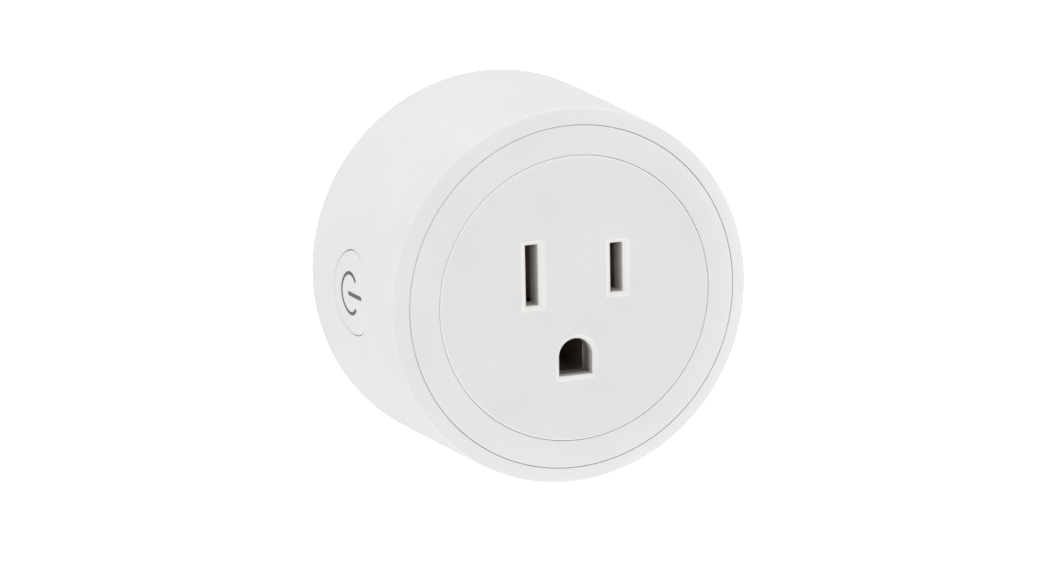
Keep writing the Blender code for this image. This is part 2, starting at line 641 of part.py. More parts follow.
def make_switch(fixed, moving):
    back_x = CONTROL_X[0] - GAP
    front_x = back_x - 2.5
    low = (front_x, BUTTON_Y - SWITCH_HALF, BUTTON_Z - SWITCH_HALF)
    high = (back_x, BUTTON_Y + SWITCH_HALF, BUTTON_Z + SWITCH_HALF)
    body = piece("switch_body", box(low, high), "chip", fixed)
    axis = (0.0, BUTTON_Y, BUTTON_Z)
    cut(body, "plunger_bore", along_x(disc((0.0, 0.0), 1.9, front_x - 1.0, -20.6), axis))
    plate_low = (front_x - GAP - 0.2, low[1], low[2])
    plate_high = (front_x - GAP, high[1], high[2])
    plate = piece("switch_plate", box(plate_low, plate_high), "steel", fixed)
    cut(plate, "plate_hole", along_x(disc((0.0, 0.0), 2.1, -25.0, -21.0), axis))
    outline = [(0.0, PLUNGER_TIP_X), (1.3, PLUNGER_TIP_X), (1.6, PLUNGER_TIP_X + 0.3), (1.6, -21.6), (0.0, -21.6)]
    plunger = along_x(turned(outline, SMALL_SEGMENTS), axis)
    piece("switch_plunger", plunger, "chip", moving, (PLUNGER_TIP_X, BUTTON_Y, BUTTON_Z))


# Relay


def make_relay(fixed, moving):
    low, high = Vector(RELAY_LOW), Vector(RELAY_HIGH)
    wall = Vector((RELAY_WALL, RELAY_WALL, RELAY_WALL))
    case = piece("relay_case", box(low, high, 0.25), "relay_plastic", fixed)
    inside_low, inside_high = low + wall, high - wall
    cut(case, "relay_hollow", box(inside_low, (inside_high.x, high.y + 1.0, inside_high.z)))

    base_front = high.y - 1.5
    base_low = (inside_low.x + GAP, base_front, inside_low.z + GAP)
    base_high = (inside_high.x - GAP, high.y, inside_high.z - GAP)
    piece("relay_base", box(base_low, base_high), "relay_plastic", fixed)

    x = RELAY_MID_X
    yoke_rear = base_front - GAP
    yoke = [(yoke_rear, -8.0), (PIVOT[1] + GAP, -8.0), (PIVOT[1] + GAP, -7.0)]
    yoke += [(yoke_rear - 1.0, -7.0), (yoke_rear - 1.0, 1.6), (yoke_rear, 1.6)]
    bm = lofted([[(px, y, z) for y, z in yoke] for px in (x - 3.4, x + 3.4)])
    piece("relay_yoke", bm, "steel", fixed)

    near, far = -22.2, yoke_rear - 1.0 - GAP
    place = (x, COIL_Z)
    bobbin = [(1.6, near), (3.9, near), (3.9, near + 0.6), (2.0, near + 0.6)]
    bobbin += [(2.0, far - 0.6), (3.9, far - 0.6), (3.9, far), (1.6, far)]
    piece("relay_bobbin", turned(bobbin, SMALL_SEGMENTS, place), "bobbin_plastic", fixed)
    winding = [(2.3, near + 0.9), (3.6, near + 0.9), (3.6, far - 0.9), (2.3, far - 0.9)]
    piece("relay_winding", turned(winding, SMALL_SEGMENTS, place), "copper", fixed)
    head = PIVOT[1] + 0.5
    core = [(0.0, head), (2.4, head), (2.4, head + 0.6), (1.3, head + 0.6), (1.3, far), (0.0, far)]
    piece("relay_core", turned(core, SMALL_SEGMENTS, place), "steel", fixed)

    low_corner = (x - 3.2, PIVOT[1] - 1.0, -7.9)
    high_corner = (x + 3.2, PIVOT[1], 2.4)
    piece("relay_armature", box(low_corner, high_corner), "steel", moving, PIVOT)
    leaf = box((x - 1.5, PIVOT[1] - 0.75, 2.7), (x + 1.5, PIVOT[1] - 0.45, 7.7))
    contact_z = 6.5
    spring = piece("relay_moving_contact", leaf, "contact_brass", moving, PIVOT)
    unite(spring, "moving_contact_tip", disc((x, contact_z), 1.2, PIVOT[1] - 0.6, PIVOT[1] + 0.1))

    post = box((x - 1.5, -22.1, contact_z - 0.4), (x + 1.5, yoke_rear, contact_z + 0.4))
    terminal = piece("relay_fixed_contact", post, "contact_brass", fixed)
    unite(terminal, "fixed_contact_tip", disc((x, contact_z), 1.2, -22.4, -21.8))


def main():
    clear_scene()
    make_materials()
    housing = group("housing_assembly")
    power = group("power_assembly")
    button = group("button_assembly")
    armature = group("armature_assembly")
    for assembly in (power, button, armature):
        assembly.parent = housing

    make_socket_face(housing)
    make_front_ring(housing)
    make_barrel_shell(housing)
    make_rear_cover(housing)
    make_blade("neutral_blade", -SLOT_X, housing)
    make_blade("line_blade", SLOT_X, housing)
    make_ground_pin(housing)
    make_blade_contact("neutral_contact", -SLOT_X, power)
    make_blade_contact("line_contact", SLOT_X, power)
    make_ground_contact(power)
    make_contact_carrier(power)
    make_contact_retainer(power)
    make_main_board(power)
    make_screws(power)
    make_power_parts(power)
    make_chips(power)
    make_control_parts(power)
    make_button(button)
    make_switch(power, button)
    make_relay(power, armature)


main()
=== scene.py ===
"""Looks of the round smart plug: fine visible shells, prongs and button around the CAD frame.

Sizes are in millimetres and are turned into metres as each mesh is made. The frame's +Y runs into
the wall, so the socket faces -Y. The visible pieces stand for the plain CAD ones. They keep their
places and outer sizes, but the slots and the gaps differ a little.
"""
import json
import math

import bmesh
import bpy
from mathutils import Matrix, Vector


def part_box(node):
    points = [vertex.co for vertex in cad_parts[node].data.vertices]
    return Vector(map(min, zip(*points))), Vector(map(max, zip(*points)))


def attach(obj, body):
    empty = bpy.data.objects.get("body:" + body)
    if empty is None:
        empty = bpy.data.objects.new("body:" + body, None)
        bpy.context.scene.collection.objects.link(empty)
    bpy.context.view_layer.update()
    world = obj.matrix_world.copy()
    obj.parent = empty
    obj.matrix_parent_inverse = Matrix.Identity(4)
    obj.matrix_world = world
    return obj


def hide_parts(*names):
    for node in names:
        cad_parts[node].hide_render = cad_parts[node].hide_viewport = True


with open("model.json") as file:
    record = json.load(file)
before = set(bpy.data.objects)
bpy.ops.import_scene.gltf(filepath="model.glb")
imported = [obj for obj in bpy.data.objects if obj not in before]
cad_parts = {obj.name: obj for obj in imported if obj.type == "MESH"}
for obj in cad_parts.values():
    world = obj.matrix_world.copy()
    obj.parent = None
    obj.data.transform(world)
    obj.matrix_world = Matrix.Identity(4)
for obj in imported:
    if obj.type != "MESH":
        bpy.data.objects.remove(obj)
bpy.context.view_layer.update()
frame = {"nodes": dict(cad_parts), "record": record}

MM = 0.001
FINE = 192  # segments of the large circles
MEDIUM = 96
SMALL = 48


def corner_mm(node):
    """Lowest and highest corner of a CAD node, in millimetres."""
    low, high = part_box(node)
    return low / MM, high / MM


# Places and sizes read from the frame
disc_low, disc_high = corner_mm("socket_face")
_, shell_high = corner_mm("barrel_shell")
_, cover_high = corner_mm("rear_cover")
button_low, button_high = corner_mm("button_cap")
pin_low, pin_high = corner_mm("ground_pin")
blade_low, blade_high = corner_mm("line_blade")
stem_low, _ = corner_mm("switch_plunger")

FACE_Y = disc_low.y
FLANGE_RADIUS = disc_high.x
SEAM_Y = shell_high.y + 0.15
REAR_RADIUS = cover_high.x
BUTTON_Y = (button_low.y + button_high.y) / 2
BUTTON_Z = (button_low.z + button_high.z) / 2
BLADE_X = (blade_low.x + blade_high.x) / 2
BLADE_Z = (blade_low.z + blade_high.z) / 2
BLADE_END_Y = blade_high.y
PIN_Z = (pin_low.z + pin_high.z) / 2
PIN_END_Y = pin_high.y
STEM_TIP_X = stem_low.x - 0.3

# Housing, as the frame has it
FRONT_RADIUS = 26.6
BARREL_FRONT_Y = FACE_Y + 1.5
REAR_EDGE = 1.3  # rounding of the rear edge
WALL = 2.0
DISC_RADIUS = 20.2  # the middle of the inner circular line
RING_RADIUS = 24.3  # the middle of the outer one
DISC_DROP = 0.08
DOME_CURVE = 0.0345
DISC_BACK_Y = FACE_Y + 2.8
LEDGE_Y = FACE_Y + 1.8  # front of the flange that carries the ring and the shell
LEDGE_RADIUS = 22.1
SHELL_INSIDE_Y = -29.5
TONGUE_Y = -8.6  # the cover's tongue reaches this far forwards inside the barrel
TONGUE_PLAY = 0.3
TONGUE_WALL = 1.4
BOSS = ((-10.2, -4.2, -12.4), (10.2, -1.5, 9.2))  # two corners of the block behind the prongs

# Finer features that only the visible pieces have
LINE_HALF = 0.028  # half the width of the fine lines on the front
LINE_DEPTH = 0.36
OUTER_LIP = 0.32  # rounding of the edge inside each line, which catches the light
INNER_LIP = 0.05
HAIRLINE = 0.01  # half the gap between two pieces
FRONT_CORNER = 0.4
SEAM_LIP = 0.12
REAR_LINE_RADIUS = 23.4  # turned line on the rear face
REAR_LINE_DEPTH = 0.25

# Socket
SLOT_X = 6.35
SLOT_Z = 3.85
SLOT_WIDTH = 1.86
NEUTRAL_HEIGHT = 8.6
LINE_HEIGHT = 7.0
SLOT_BEVEL = (0.86, 0.62)  # across the slot and along it
GROUND_BEVEL = (0.66, 0.6)
BEVEL_DEPTH = 0.7
BEVEL_EDGE = 0.07  # rounded part at each edge of a bevel, as a share of it
BEVEL_STEPS = 4
COLLAR_DEPTH = 3.7  # the blade slots run on behind the disc
COLLAR_WALL = 0.6
GROUND_LAND = 2.0  # depth of the white edge of the earth-pin hole
GUIDE_DEPTH = 3.7
GUIDE_GAP = 0.02
GUIDE_POCKET = 0.55  # how far the pocket, the guide and its bore stand outside the hole
GUIDE_OUTSIDE = 0.53
GUIDE_INSIDE = 0.03
GROUND_WIDTH = 5.0
GROUND_ARC_Z = -8.2
GROUND_BOTTOM_Z = -10.95

# Button
BUTTON_HOLE_RADIUS = 6.15
BUTTON_HOLE_LIP = 0.12
BUTTON_RADIUS = 6.04
BUTTON_EDGE = 0.22
BUTTON_WALL = 1.2
BUTTON_CEILING = 1.9  # thickness of the cap's top
CAP_FLANGE = (6.6, -24.0, -23.2)  # radius of the flange inside the hole, and its two ends in x
CAP_STEM_RADIUS = 1.3
SYMBOL_RADIUS = 2.9
SYMBOL_STROKE = 0.5
SYMBOL_BAR_STROKE = 0.6
SYMBOL_OPENING = 46.0  # half the angle of the symbol's gap
SYMBOL_BAR = (-4.2, 0.2)  # from the button's centre, along Y
INK_PROUD = 0.012
INK_CROWN = 0.015
INK_BURIED = 0.05

# Prongs
PIN_RADIUS = 2.375
PIN_TAIL_RADIUS = 1.2
PIN_SHOULDER_RADIUS = 3.4
BLADE_HALF = (0.76, 3.175)  # half the thickness and half the width
BLADE_TAIL_HALF = (0.5, 1.25)
BLADE_SHOULDER_HALF = (1.6, 4.2)
BLADE_HOLE_Y = 11.9
BLADE_HOLE_RADIUS = 1.98
BLADE_LIP = 0.12
SHOULDER_FRONT_Y = -6.2
SHOULDER_REAR_Y = -4.5
PRONG_PLAY = 0.03


# ---- Meshes ----


def barrel_radius(y):
    """Outside radius of the tapered barrel."""
    share = (y - BARREL_FRONT_Y) / (-REAR_EDGE - BARREL_FRONT_Y)
    return FRONT_RADIUS + (REAR_RADIUS - FRONT_RADIUS) * share


def front_y(radius):
    """Front surface, which falls away in a shallow dome outside the flat disc."""
    return FACE_Y + DISC_DROP + DOME_CURVE * (radius - DISC_RADIUS) ** 2


def dome(start, end, steps):
    """Outline corners along the dome, with no rounding of their own."""
    radii = [start + (end - start) * i / steps for i in range(steps + 1)]
    return [(radius, front_y(radius), 0.0) for radius in radii]


def filleted(corners, steps=6):
    """Closed outline of (radius, y) points from corners of (radius, y, rounding)."""
    outline = []
    for i, (radius, y, rounding) in enumerate(corners):
        here = Vector((radius, y))
        if not rounding:
            outline.append((radius, y))
            continue
        back = (Vector(corners[i - 1][:2]) - here).normalized()
        ahead = (Vector(corners[(i + 1) % len(corners)][:2]) - here).normalized()
        half = back.angle(ahead) / 2
        centre = here + (back + ahead).normalized() * rounding / math.sin(half)
        start = here + back * rounding / math.tan(half) - centre
        end = here + ahead * rounding / math.tan(half) - centre
        first = math.atan2(start.y, start.x)
        sweep = (math.atan2(end.y, end.x) - first + math.pi) % math.tau - math.pi
        for step in range(steps + 1):
            turn = first + sweep * step / steps
            x = centre.x + rounding * math.cos(turn)
            outline.append((x, centre.y + rounding * math.sin(turn)))
    return outline


def revolved(outline, segments=FINE, centre=(0.0, 0.0)):
    """Closed solid of an outline of (radius, y) turned about an axis along Y through the centre."""
    bm = bmesh.new()
    angles = [math.tau * k / segments for k in range(segments)]
    rings = []
    for radius, y in outline:
        turns = angles if radius > 1e-6 else angles[:1]
        across = [(radius * math.cos(turn), radius * math.sin(turn)) for turn in turns]
        rings.append([bm.verts.new((centre[0] + x, y, centre[1] + z)) for x, z in across])
    for near, far in zip(rings, rings[1:] + rings[:1]):
        if len(near) == 1 and len(far) == 1:
            continue
        for k in range(segments):
            n = (k + 1) % segments
            corners = [near[k % len(near)], near[n % len(near)]]
            corners += [far[n % len(far)], far[k % len(far)]]
            bm.faces.new(list(dict.fromkeys(corners)))
    bmesh.ops.recalc_face_normals(bm, faces=bm.faces)
    return bm


def lofted(loops):
    """Closed solid through loops of equally many points."""
    bm = bmesh.new()
    rows = [[bm.verts.new(point) for point in loop] for loop in loops]
    for near, far in zip(rows, rows[1:]):
        for i in range(len(near)):
            bm.faces.new((near[i - 1], near[i], far[i], far[i - 1]))
    bm.faces.new(rows[0])
    bm.faces.new(rows[-1])
    bmesh.ops.recalc_face_normals(bm, faces=bm.faces)
    return bm


def block(low, high):
    low, high = Vector(low), Vector(high)
    bm = bmesh.new()
    bmesh.ops.create_cube(bm, size=1.0)
    bmesh.ops.scale(bm, verts=bm.verts, vec=high - low)
    bmesh.ops.translate(bm, verts=bm.verts, vec=(low + high) / 2)
    return bm


def along_x(bm, origin):
    """Turns a solid made about the Y axis so that +Y becomes +X, and moves it to the origin."""
    turn = Matrix.Translation(origin) @ Matrix.Rotation(math.radians(-90.0), 4, "Z")
    bmesh.ops.transform(bm, matrix=turn, verts=bm.verts)
    return bm


def as_object(name, bm):
    """Object in metres from a mesh in millimetres, which it takes in."""
    bmesh.ops.scale(bm, verts=bm.verts, vec=(MM, MM, MM))
    mesh = bpy.data.meshes.new(name)
    bm.to_mesh(mesh)
    bm.free()
    obj = bpy.data.objects.new(name, mesh)
    bpy.context.scene.collection.objects.link(obj)
    return obj


def settle(obj):
    """Replaces the object's mesh by what its modifiers make of it."""
    graph = bpy.context.evaluated_depsgraph_get()
    mesh = bpy.data.meshes.new_from_object(obj.evaluated_get(graph))
    obj.modifiers.clear()
    obj.data = mesh


def combined(obj, operation, solids):
    """Unites the object with closed solids, or cuts them out of it."""
    tools = [as_object(f"tool_{number}", bm) for number, bm in enumerate(solids)]
    for tool in tools:
        modifier = obj.modifiers.new(tool.name, "BOOLEAN")
        modifier.operation = operation
        modifier.solver = "EXACT"
        modifier.object = tool
    settle(obj)
    for tool in tools:
        bpy.data.objects.remove(tool)
    return obj


def finished(obj, material, body, nodes=()):
    """Shades a piece, gives it its material and ties it to the frame."""
    obj.data.materials.clear()
    obj.data.materials.append(material)
    obj.data.shade_smooth()
    obj.data.set_sharp_from_angle(angle=math.radians(38))
    weighted = obj.modifiers.new("weighted_normals", "WEIGHTED_NORMAL")
    weighted.keep_sharp = True
    weighted.weight = 90
    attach(obj, body)
    if nodes:
        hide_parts(*nodes)
    return obj


# ---- Materials ----


class Shader:
    """A material in the making: its node tree, its Principled shader and object coordinates."""

    def __init__(self, name):
        self.material = bpy.data.materials.new(name)
        self.material.use_nodes = True
        self.tree = self.material.node_tree
        self.principled = self.tree.nodes["Principled BSDF"]
        self.place = self.tree.nodes.new("ShaderNodeTexCoord").outputs["Object"]

    def set(self, socket, value):
        self.principled.inputs[socket].default_value = value

    def feed(self, socket, output):
        self.tree.links.new(output, self.principled.inputs[socket])

    def stretched(self, scale):
        mapping = self.tree.nodes.new("ShaderNodeMapping")
        mapping.inputs["Scale"].default_value = scale
        self.tree.links.new(self.place, mapping.inputs["Vector"])
        return mapping.outputs["Vector"]

    def noise(self, scale, detail=2.0, roughness=0.5, place=None):
        node = self.tree.nodes.new("ShaderNodeTexNoise")
        node.inputs["Scale"].default_value = scale
        node.inputs["Detail"].default_value = detail
        node.inputs["Roughness"].default_value = roughness
        self.tree.links.new(place or self.place, node.inputs["Vector"])
        return node.outputs["Fac"]

    def cells(self, scale, place=None):
        node = self.tree.nodes.new("ShaderNodeTexVoronoi")
        node.inputs["Scale"].default_value = scale
        self.tree.links.new(place or self.place, node.inputs["Vector"])
        return node.outputs["Distance"]

    def depth(self, near_y, far_y):
        """0 to 1 along the object's own Y, between two places in millimetres."""
        axes = self.tree.nodes.new("ShaderNodeSeparateXYZ")
        self.tree.links.new(self.place, axes.inputs["Vector"])
        node = self.tree.nodes.new("ShaderNodeMapRange")
        node.inputs["From Min"].default_value = near_y * MM
        node.inputs["From Max"].default_value = far_y * MM
        self.tree.links.new(axes.outputs["Y"], node.inputs["Value"])
        return node.outputs["Result"]

    def product(self, first, second):
        node = self.tree.nodes.new("ShaderNodeMix")
        node.data_type = "RGBA"
        node.blend_type = "MULTIPLY"
        node.inputs["Factor"].default_value = 1.0
        colours = [socket for socket in node.inputs if socket.type == "RGBA"]
        self.tree.links.new(first, colours[0])
        self.tree.links.new(second, colours[1])
        return next(socket for socket in node.outputs if socket.type == "RGBA")

    def ramp(self, factor, *stops):
        node = self.tree.nodes.new("ShaderNodeValToRGB")
        elements = node.color_ramp.elements
        while len(elements) < len(stops):
            elements.new(0.5)
        for element, (position, colour) in zip(elements, stops):
            element.position = position
            element.color = (*colour, 1.0)
        self.tree.links.new(factor, node.inputs["Fac"])
        return node.outputs["Color"]

    def remap(self, value, low, high):
        node = self.tree.nodes.new("ShaderNodeMapRange")
        node.inputs["From Min"].default_value = 0.3
        node.inputs["From Max"].default_value = 0.7
        node.inputs["To Min"].default_value = low
        node.inputs["To Max"].default_value = high
        self.tree.links.new(value, node.inputs["Value"])
        return node.outputs["Result"]

    def bump(self, height, strength, distance):
        node = self.tree.nodes.new("ShaderNodeBump")
        node.inputs["Strength"].default_value = strength
        node.inputs["Distance"].default_value = distance
        self.tree.links.new(height, node.inputs["Height"])
        self.feed("Normal", node.outputs["Normal"])


def shade(colour, factor):
    return tuple(min(1.0, channel * factor) for channel in colour)


def moulded(name, colour, roughness=0.42, grain=4200.0, tone=None):
    """Moulded plastic with a fine grain, a faintly uneven tone and, if given, painted light by
    depth: a painted highlight and painted shade along the object's Y.
    """
    shader = Shader(name)
    coarse = shader.noise(90.0, 3.0, 0.55)
    base = shader.ramp(coarse, (0.35, shade(colour, 0.985)), (0.65, shade(colour, 1.015)))
    # painted light: the colour is multiplied by a ramp of painted highlight and painted shade along
    # the depth
    if tone:
        depth = shader.depth(FACE_Y, FACE_Y + COLLAR_DEPTH)
        base = shader.product(base, shader.ramp(depth, *tone))
    shader.feed("Base Color", base)
    fine = shader.noise(grain, 2.0, 0.6)
    shader.feed("Roughness", shader.remap(fine, roughness - 0.05, roughness + 0.05))
    shader.bump(fine, 0.35, 0.000012)
    shader.set("Specular IOR Level", 0.5)
    return shader.material


def printed(name, colour):
    """Pad-printed ink with a slightly uneven cover."""
    shader = Shader(name)
    cover = shader.noise(3500.0, 3.0, 0.6)
    stops = ((0.3, shade(colour, 0.85)), (0.7, shade(colour, 1.15)))
    shader.feed("Base Color", shader.ramp(cover, *stops))
    shader.feed("Roughness", shader.remap(cover, 0.45, 0.6))
    shader.bump(cover, 0.2, 0.000004)
    return shader.material


def metal(name, colour, roughness=0.25, streak=(1.0, 14.0, 1.0)):
    """Plated or plain metal with fine drawing marks and a little dulling."""
    shader = Shader(name)
    marks = shader.noise(2600.0, 3.0, 0.6, shader.stretched(tuple(1.0 / s for s in streak)))
    dulling = shader.noise(260.0, 3.0, 0.5)
    stops = ((0.3, shade(colour, 0.9)), (0.7, shade(colour, 1.05)))
    shader.feed("Base Color", shader.ramp(dulling, *stops))
    shader.feed("Roughness", shader.remap(marks, roughness - 0.06, roughness + 0.10))
    shader.bump(marks, 0.15, 0.000005)
    shader.set("Metallic", 1.0)
    return shader.material


def circuit_board(name):
    """Green solder mask over copper tracks on glass weave."""
    shader = Shader(name)
    tracks = shader.cells(420.0)
    mask = ((0.0, (0.012, 0.10, 0.04)), (0.35, (0.02, 0.17, 0.07)), (0.6, (0.03, 0.22, 0.09)))
    shader.feed("Base Color", shader.ramp(tracks, *mask))
    weave = shader.noise(2400.0, 1.0, 0.5)
    shader.feed("Roughness", shader.remap(weave, 0.28, 0.42))
    shader.bump(tracks, 0.3, 0.00002)
    return shader.material


def winding(name, colour):
    """Enamelled wire laid in close turns along Y."""
    shader = Shader(name)
    turns = shader.tree.nodes.new("ShaderNodeTexWave")
    turns.bands_direction = "Y"
    turns.inputs["Scale"].default_value = 900.0
    shader.tree.links.new(shader.place, turns.inputs["Vector"])
    stops = ((0.0, shade(colour, 0.45)), (1.0, shade(colour, 1.1)))
    shader.feed("Base Color", shader.ramp(turns.outputs["Fac"], *stops))
    shader.feed("Roughness", shader.remap(shader.noise(800.0), 0.22, 0.34))
    shader.bump(turns.outputs["Fac"], 0.6, 0.00004)
    shader.set("Metallic", 1.0)
    return shader.material


def coated(name, colour, roughness, fleck):
    """Lacquer, epoxy or sleeve with a fine fleck."""
    shader = Shader(name)
    spots = shader.noise(fleck, 4.0, 0.6)
    stops = ((0.35, shade(colour, 0.8)), (0.7, shade(colour, 1.2)))
    shader.feed("Base Color", shader.ramp(spots, *stops))
    shader.feed("Roughness", shader.remap(spots, roughness - 0.06, roughness + 0.06))
    shader.bump(spots, 0.2, 0.00001)
    return shader.material


WHITE = (0.83, 0.827, 0.815)
BEVEL_SHARE = BEVEL_DEPTH / COLLAR_DEPTH
FACE_PAINTED_LIGHT = (  # painted light by depth: a painted highlight on the bevels, and painted shade darker down the walls of the slots
    (0.002, (0.88, 0.88, 0.88)),
    (0.01, (1.0, 1.0, 1.0)),
    (BEVEL_SHARE * 0.96, (1.0, 1.0, 1.0)),
    (BEVEL_SHARE * 1.08, (0.84, 0.82, 0.80)),
    (0.5, (0.66, 0.62, 0.60)),
    (1.0, (0.50, 0.46, 0.44)),
)
LOOKS = {
    "white_shell": moulded("shell_white", WHITE, 0.36),
    # lighter than the shell, so that the painted-light ramp leaves a painted highlight on the
    # bevels, darkens the flat face and paints shade down the slots
    "white_face": moulded("face_white_painted_light", (0.925, 0.92, 0.905), 0.38, tone=FACE_PAINTED_LIGHT),
    "white_button": moulded("button_white", shade(WHITE, 1.01), 0.34, grain=5200.0),
    "insulator": moulded("insulator_dark", (0.022, 0.021, 0.020), 0.5, grain=2600.0),
    "prong_metal": metal("nickel_plate", (0.74, 0.73, 0.70), 0.22),
    "contact_brass": metal("spring_brass", (0.70, 0.62, 0.55), 0.42),
    "circuit_board": circuit_board("solder_mask"),
    "relay_plastic": moulded("relay_blue", (0.02, 0.07, 0.22), 0.35, grain=2200.0),
    "bobbin_plastic": moulded("bobbin_cream", (0.70, 0.66, 0.55), 0.5, grain=2200.0),
    "copper_wire": winding("copper_winding", (0.72, 0.33, 0.16)),
    "steel": metal("zinc_steel", (0.56, 0.57, 0.58), 0.3),
    "capacitor_sleeve": coated("capacitor_sleeve", (0.02, 0.02, 0.03), 0.3, 700.0),
    "film_box": coated("film_yellow", (0.75, 0.55, 0.06), 0.4, 900.0),
    "varistor_coat": coated("varistor_blue", (0.03, 0.10, 0.45), 0.35, 1500.0),
    "resistor_coat": coated("resistor_green", (0.10, 0.33, 0.28), 0.4, 1500.0),
    "ferrite": coated("ferrite_black", (0.05, 0.05, 0.05), 0.6, 3000.0),
    "chip": coated("moulded_epoxy", (0.02, 0.02, 0.02), 0.5, 2500.0),
    "led_lens": moulded("led_lens", (0.80, 0.80, 0.70), 0.2, grain=3000.0),
}
INK = printed("symbol_ink", (0.13, 0.13, 0.13))
GUIDE_GREY = moulded("guide_grey", (0.26, 0.255, 0.25), 0.5, grain=2600.0)


# ---- Pieces ----


def lip_levels():
    """(share of the bevel's width, depth) down a bevelled lip with two slightly rounded edges."""
    eases = [step / BEVEL_STEPS for step in range(BEVEL_STEPS + 1)]
    outer = [
        (1.0 + BEVEL_EDGE * (1.0 - ease) ** 2, BEVEL_DEPTH * BEVEL_EDGE * ease ** 2)
        for ease in eases[:-1]
    ]
    inner = [
        (BEVEL_EDGE * (1.0 - ease) ** 2, BEVEL_DEPTH * (1.0 - BEVEL_EDGE + 2.0 * BEVEL_EDGE * ease))
        for ease in eases
    ]
    return outer + [(1.0 - BEVEL_EDGE, BEVEL_DEPTH * BEVEL_EDGE)] + inner


def slot_cutter(outline_at, depth):
    """Solid that cuts a slot with a bevelled lip into the disc."""
    levels = lip_levels()
    rows = [(levels[0][0], FACE_Y - 0.5)] + [(share, FACE_Y + deep) for share, deep in levels]
    rows.append((0.0, FACE_Y + depth))
    return lofted([[(x, y, z) for x, z in outline_at(share)] for share, y in rows])


def slot_outline(centre_x, height, share, corner=0.10, steps=3):
    """Blade slot with slightly rounded corners, at a share of the bevel's width."""
    half_x = SLOT_WIDTH / 2 + SLOT_BEVEL[0] * share - corner
    half_z = height / 2 + SLOT_BEVEL[1] * share - corner
    points = []
    for number, (sx, sz) in enumerate(((1, 1), (-1, 1), (-1, -1), (1, -1))):
        for step in range(steps + 1):
            turn = math.radians(90.0 * (number + step / steps))
            x = centre_x + sx * half_x + corner * math.cos(turn)
            points.append((x, SLOT_Z + sz * half_z + corner * math.sin(turn)))
    return points


def ground_outline(share, steps=36):
    """Earth-pin hole, with a round top and a flat bottom, at a share of the bevel's width."""
    radius = GROUND_WIDTH / 2 + GROUND_BEVEL[0] * share
    bottom = GROUND_BOTTOM_Z - GROUND_BEVEL[1] * share
    turns = [math.pi * step / steps for step in range(steps + 1)]
    arc = [(radius * math.cos(turn), GROUND_ARC_Z + radius * math.sin(turn)) for turn in turns]
    return arc + [(-radius, bottom), (radius, bottom)]


def ground_block(grow, front, rear):
    """Block in the shape of the earth-pin hole, grown by a distance."""
    share = grow / GROUND_BEVEL[0]
    return lofted([[(x, y, z) for x, z in ground_outline(share)] for y in (front, rear)])


def make_face():
    """Flat disc of the socket with its three holes."""
    edge = DISC_RADIUS - LINE_HALF
    floor = FACE_Y + LINE_DEPTH
    outline = filleted((
        (0.0, FACE_Y, 0.0),
        (edge, FACE_Y, OUTER_LIP),
        (edge, floor, 0.0),
        (DISC_RADIUS - HAIRLINE, floor, 0.0),
        (DISC_RADIUS - HAIRLINE, LEDGE_Y, 0.0),
        (FLANGE_RADIUS, LEDGE_Y, 0.0),
        (FLANGE_RADIUS, DISC_BACK_Y, 0.0),
        (0.0, DISC_BACK_Y, 0.0),
    ))
    face = as_object("face_disc", revolved(outline))
    collars = []
    for x, height in ((-SLOT_X, NEUTRAL_HEIGHT), (SLOT_X, LINE_HEIGHT)):
        half_x, half_z = SLOT_WIDTH / 2 + COLLAR_WALL, height / 2 + COLLAR_WALL
        low = (x - half_x, DISC_BACK_Y - 0.3, SLOT_Z - half_z)
        collars.append(block(low, (x + half_x, FACE_Y + COLLAR_DEPTH, SLOT_Z + half_z)))
    combined(face, "UNION", collars)
    depth = COLLAR_DEPTH + 1.0
    cutters = [
        slot_cutter(lambda share: slot_outline(-SLOT_X, NEUTRAL_HEIGHT, share), depth),
        slot_cutter(lambda share: slot_outline(SLOT_X, LINE_HEIGHT, share), depth),
        slot_cutter(ground_outline, depth),
        ground_block(GUIDE_POCKET, FACE_Y + GROUND_LAND, DISC_BACK_Y + 0.5),
    ]
    combined(face, "DIFFERENCE", cutters)
    finished(face, LOOKS["white_face"], "housing", ["socket_face"])
    front = FACE_Y + GROUND_LAND + GUIDE_GAP
    guide = as_object("earth_guide", ground_block(GUIDE_OUTSIDE, front, FACE_Y + GUIDE_DEPTH))
    combined(guide, "DIFFERENCE", [ground_block(GUIDE_INSIDE, FACE_Y, FACE_Y + 6.0)])
    finished(guide, GUIDE_GREY, "housing")


def make_ring():
    """Sloping ring between the two fine lines."""
    inner = DISC_RADIUS + LINE_HALF
    outer = RING_RADIUS - LINE_HALF
    back = LEDGE_Y - 0.3
    floor = FACE_Y + LINE_DEPTH
    corners = [(DISC_RADIUS + HAIRLINE, back, 0.0), (DISC_RADIUS + HAIRLINE, floor, 0.0)]
    corners += [(inner, floor, 0.0), (inner, front_y(inner), INNER_LIP)]
    corners += dome(inner + 0.2, outer - 0.5, 16)
    floor = front_y(outer) + LINE_DEPTH
    corners += [(outer, front_y(outer), OUTER_LIP), (outer, floor, 0.0)]
    corners += [(RING_RADIUS - HAIRLINE, floor, 0.0), (RING_RADIUS - HAIRLINE, back, 0.0)]
    ring = as_object("sloping_ring", revolved(filleted(corners)))
    finished(ring, LOOKS["white_shell"], "housing", ["front_ring"])


def surface_ring(radius, depth, steps=MEDIUM, flat_x=None):
    """Loop round the button's axis that lies on the barrel's surface, or at a fixed x."""
    loop = []
    for i in range(steps):
        turn = math.tau * i / steps
        y = BUTTON_Y + radius * math.cos(turn)
        z = BUTTON_Z + radius * math.sin(turn)
        x = -math.sqrt(barrel_radius(y) ** 2 - z ** 2) + depth if flat_x is None else flat_x
        loop.append((x, y, z))
    return loop


